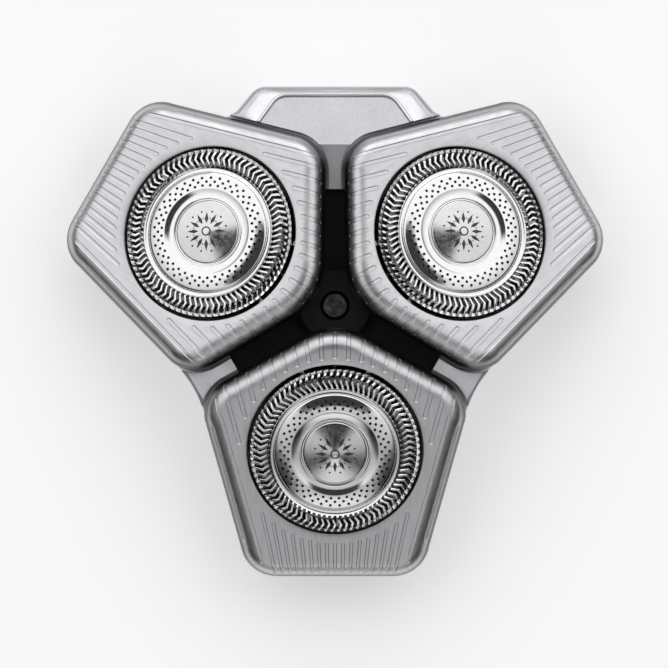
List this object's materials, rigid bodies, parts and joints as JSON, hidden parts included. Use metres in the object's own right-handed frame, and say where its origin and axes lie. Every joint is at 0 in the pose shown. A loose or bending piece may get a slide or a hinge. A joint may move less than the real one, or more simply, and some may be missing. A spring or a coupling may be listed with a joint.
{
  "type": "shaver head",
  "caption": "Replaceable rotary shaver head: pentagonal pivoting cutting units with slotted steel guards on a silver frame with a tab.",
  "frame": {"origin": "under the centre screw, on the flat rear rim", "axes": "+Z out of the shaving face, +Y towards the tab, +X to the right seen from the front"},
  "size_m": [0.0676, 0.0617, 0.0189],
  "materials": {
    "frame_silver": "satin silver",
    "housing_silver": "brushed silver coating",
    "guard_steel": "polished steel",
    "disc_steel": "satin steel",
    "blade_steel": "ground steel",
    "carrier_plastic": "moulded",
    "ring_plastic": "moulded",
    "hub_plastic": "moulded",
    "deck_black": "moulded",
    "screw_steel": "dark plated",
    "pin_steel": "bright"
  },
  "bodies": {
    "frame": {"frame": "frame_silver", "centre_deck": "deck_black", "centre_screw": "screw_steel", "hinge_pin_right": "pin_steel", "hinge_pin_left": "pin_steel", "hinge_pin_bottom": "pin_steel"},
    "head_right": {"housing_right": "housing_silver", "roll_pins_right": "pin_steel"},
    "unit_right": {"carrier_right": "carrier_plastic", "guard_right": "guard_steel", "trim_disc_right": "disc_steel", "retaining_ring_right": "ring_plastic"},
    "cutter_right": {"blade_ring_right": "blade_steel", "drive_hub_right": "hub_plastic"},
    "head_left": {"housing_left": "housing_silver", "roll_pins_left": "pin_steel"},
    "unit_left": {"carrier_left": "carrier_plastic", "guard_left": "guard_steel", "trim_disc_left": "disc_steel", "retaining_ring_left": "ring_plastic"},
    "cutter_left": {"blade_ring_left": "blade_steel", "drive_hub_left": "hub_plastic"},
    "head_bottom": {"housing_bottom": "housing_silver", "roll_pins_bottom": "pin_steel"},
    "unit_bottom": {"carrier_bottom": "carrier_plastic", "guard_bottom": "guard_steel", "trim_disc_bottom": "disc_steel", "retaining_ring_bottom": "ring_plastic"},
    "cutter_bottom": {"blade_ring_bottom": "blade_steel", "drive_hub_bottom": "hub_plastic"}
  },
  "joints": [
    {"name": "tilt_right", "type": "hinge", "parent": "frame", "child": "head_right", "pos_m": [0.00528, 0.00305, 0.0124], "axis": [0.5, -0.866, 0], "range_deg": [0, 10]},
    {"name": "roll_right", "type": "hinge", "parent": "head_right", "child": "unit_right", "pos_m": [0.01516, 0.00875, 0.01278], "axis": [0.8365, 0.483, -0.2588], "range_deg": [-3, 3]},
    {"name": "spin_right", "type": "hinge", "parent": "unit_right", "child": "cutter_right", "pos_m": [0.01568, 0.00905, 0.015], "axis": [0.2241, 0.1294, 0.9659], "continuous": true},
    {"name": "tilt_left", "type": "hinge", "parent": "frame", "child": "head_left", "pos_m": [-0.00528, 0.00305, 0.0124], "axis": [0.5, 0.866, 0], "range_deg": [0, 10]},
    {"name": "roll_left", "type": "hinge", "parent": "head_left", "child": "unit_left", "pos_m": [-0.01516, 0.00875, 0.01278], "axis": [-0.8365, 0.483, -0.2588], "range_deg": [-3, 3]},
    {"name": "spin_left", "type": "hinge", "parent": "unit_left", "child": "cutter_left", "pos_m": [-0.01568, 0.00905, 0.015], "axis": [-0.2241, 0.1294, 0.9659], "continuous": true},
    {"name": "tilt_bottom", "type": "hinge", "parent": "frame", "child": "head_bottom", "pos_m": [0, -0.0061, 0.0124], "axis": [-1, 0, 0], "range_deg": [0, 10]},
    {"name": "roll_bottom", "type": "hinge", "parent": "head_bottom", "child": "unit_bottom", "pos_m": [0, -0.0175, 0.01278], "axis": [0, -0.9659, -0.2588], "range_deg": [-3, 3]},
    {"name": "spin_bottom", "type": "hinge", "parent": "unit_bottom", "child": "cutter_bottom", "pos_m": [0, -0.0181, 0.015], "axis": [0, -0.2588, 0.9659], "continuous": true}
  ]
}
